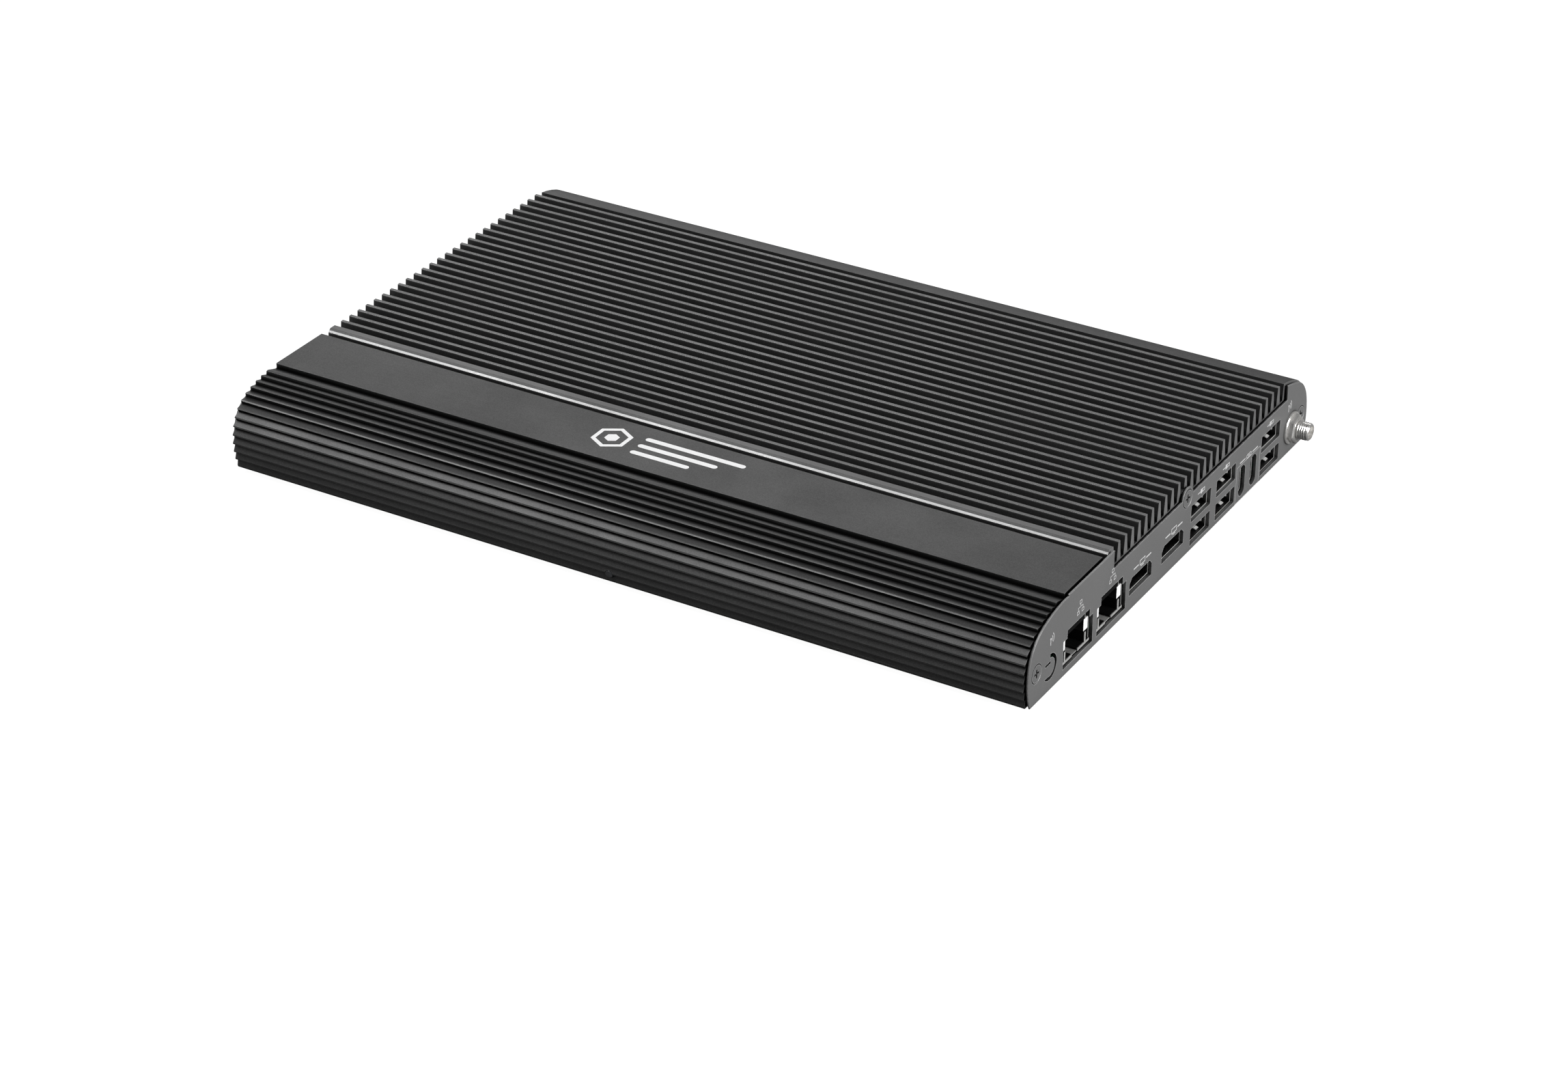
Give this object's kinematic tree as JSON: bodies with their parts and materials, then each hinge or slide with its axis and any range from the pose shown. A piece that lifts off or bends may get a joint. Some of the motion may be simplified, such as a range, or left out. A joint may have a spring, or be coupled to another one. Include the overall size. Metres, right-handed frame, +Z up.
{
  "type": "fanless mini pc",
  "caption": "Flat fanless mini PC: finned aluminium extrusion with a ribbed rounded front, flat end panels with ports, an antenna socket and a push button.",
  "frame": {"origin": "under the middle of the object, on the surface that its feet stand on", "axes": "+X along the fins to the port panel with the antenna socket, -Y to the ribbed front, +Z up"},
  "size_m": [0.2782, 0.1848, 0.0275],
  "materials": {
    "anodised_case": "matt dark grey anodised",
    "cover_paint": "fine black powder coat",
    "panel_finish": "fine dark grey satin coat",
    "dark_screw": "dark grey coated steel",
    "plain_screw": "zinc plated",
    "insert_steel": "plain",
    "foot_rubber": "matt",
    "gasket_rubber": "matt",
    "led_lens": "clear lens",
    "nickel_plate": "bright nickel",
    "insulator_white": "plain",
    "gold_contact": "gold plated",
    "connector_black": "moulded",
    "connector_steel": "tin plated",
    "light_window": "milky window",
    "tongue_plastic": "moulded",
    "board": "solder mask",
    "brass_standoff": "plain",
    "package_black": "moulded",
    "pad_grey": "soft",
    "plain_aluminium": "machined",
    "cell_steel": "bright",
    "lead_black": "satin",
    "drive_metal": "cast and brushed",
    "tray_steel": "galvanised",
    "header_white": "moulded",
    "ribbon_grey": "flat",
    "light_ring": "milky ring",
    "button_metal": "satin",
    "button_plastic": "moulded"
  },
  "bodies": {
    "case": {"antenna_contact": "gold_contact", "antenna_insulator": "insulator_white", "antenna_lead": "lead_black", "antenna_nut": "nickel_plate", "antenna_socket": "nickel_plate", "antenna_washer": "nickel_plate", "audio_jack": "connector_black", "bottom_cover": "cover_paint", "button_ring": "light_ring", "cable_headers": "header_white", "capacitors": "plain_aluminium", "card_posts": "brass_standoff", "card_sockets": "connector_black", "cell_holder": "connector_black", "coin_cell": "cell_steel", "cover_screws": "dark_screw", "dc_jack": "connector_black", "dc_pin": "nickel_plate", "drive": "drive_metal", "drive_cable": "lead_black", "drive_tray": "tray_steel", "end_gaskets": "gasket_rubber", "hdmi_front_shell": "connector_steel", "hdmi_rear_shell": "connector_steel", "hdmi_tongues": "connector_black", "heat_block": "plain_aluminium", "heat_block_screws": "plain_screw", "housing": "anodised_case", "io_ribbon": "ribbon_grey", "left_board": "board", "left_panel": "panel_finish", "mainboard": "board", "memory_modules": "board", "memory_sockets": "connector_black", "pan_screws": "plain_screw", "panel_screws": "dark_screw", "power_switch": "connector_black", "processor": "package_black", "right_panel": "panel_finish", "rj45_contacts": "gold_contact", "rj45_front_insert": "connector_black", "rj45_front_shield": "connector_steel", "rj45_lights": "light_window", "rj45_rear_insert": "connector_black", "rj45_rear_shield": "connector_steel", "rubber_feet": "foot_rubber", "standoffs": "brass_standoff", "status_led": "led_lens", "storage_card": "board", "thermal_pad": "pad_grey", "usb_a_front_shell": "connector_steel", "usb_a_middle_shell": "connector_steel", "usb_a_rear_shell": "connector_steel", "usb_a_tongues": "tongue_plastic", "usb_c_shells": "connector_steel", "usb_c_tongues": "connector_black", "vesa_inserts": "insert_steel", "wifi_card": "board"},
    "button": {"power_button": "button_metal", "switch_plunger": "button_plastic"}
  },
  "joints": [
    {"name": "power_button_press", "type": "slide", "parent": "case", "child": "button", "axis": [1, 0, 0], "range_m": [0, 0.0008], "stiffness_N_per_m": 1500, "springref_m": -0.0003}
  ]
}
